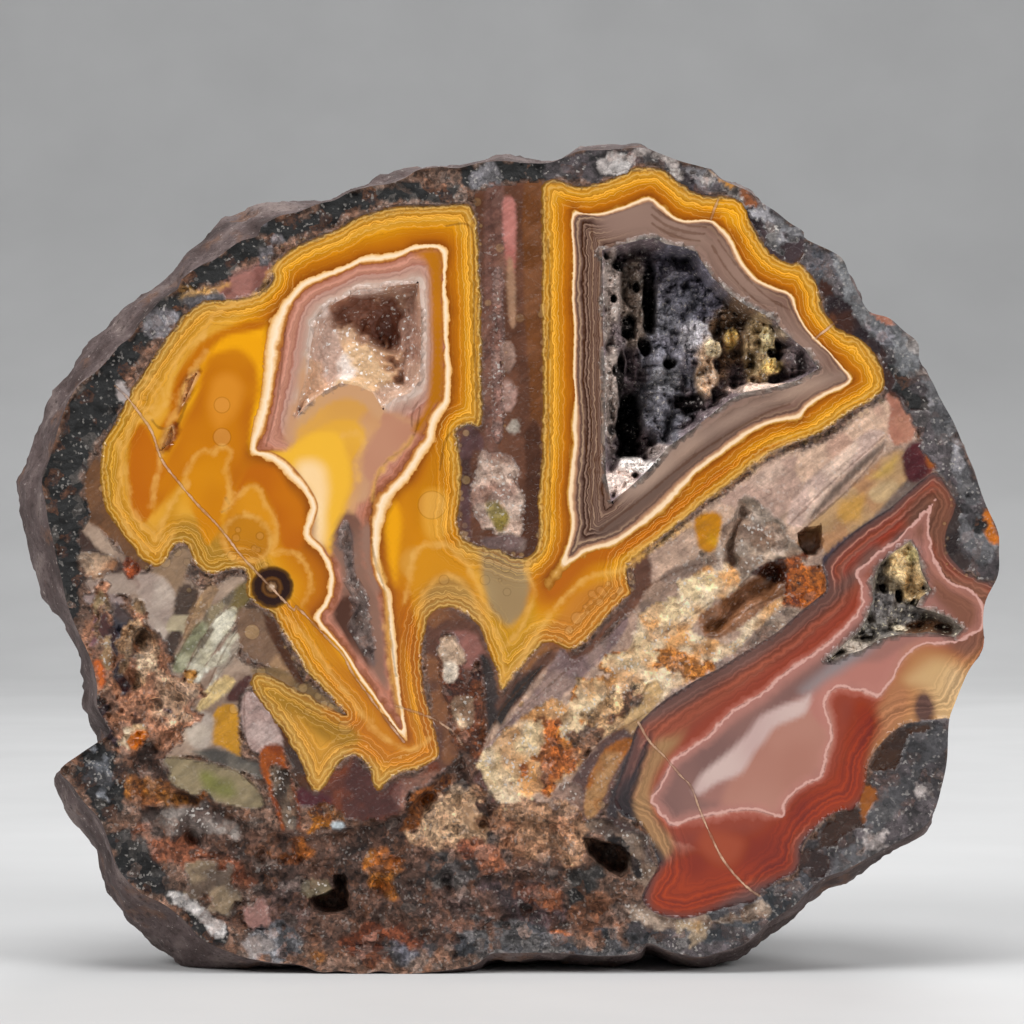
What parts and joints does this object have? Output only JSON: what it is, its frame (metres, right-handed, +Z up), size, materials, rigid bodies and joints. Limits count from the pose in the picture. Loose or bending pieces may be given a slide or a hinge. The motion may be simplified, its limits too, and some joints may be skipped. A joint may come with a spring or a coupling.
{
  "type": "agate specimen",
  "caption": "Half nodule of banded stick agate with an upright polished face, crystal-lined hollows and a rough domed back, which rests on a small flat spot.",
  "frame": {"origin": "on the surface that the stone stands on, under the middle of its box", "axes": "+Z up, -Y out of the polished face, +X to the right seen from the polished face"},
  "size_m": [0.1, 0.038, 0.0838],
  "materials": {
    "banded_agate": "polished banded chalcedony on the cut face, rough mauve-grey rind behind",
    "sparkling_druse": "fine glittering quartz druse",
    "dark_crust": "dull grey botryoidal crust with fine sparkle",
    "cream_crust": "cream and grey granular crystals"
  },
  "bodies": {
    "root": {"agate_stone": "banded_agate", "druse_crust": "sparkling_druse", "cavity_crust": "dark_crust", "small_vug_crust": "cream_crust"}
  },
  "joints": []
}
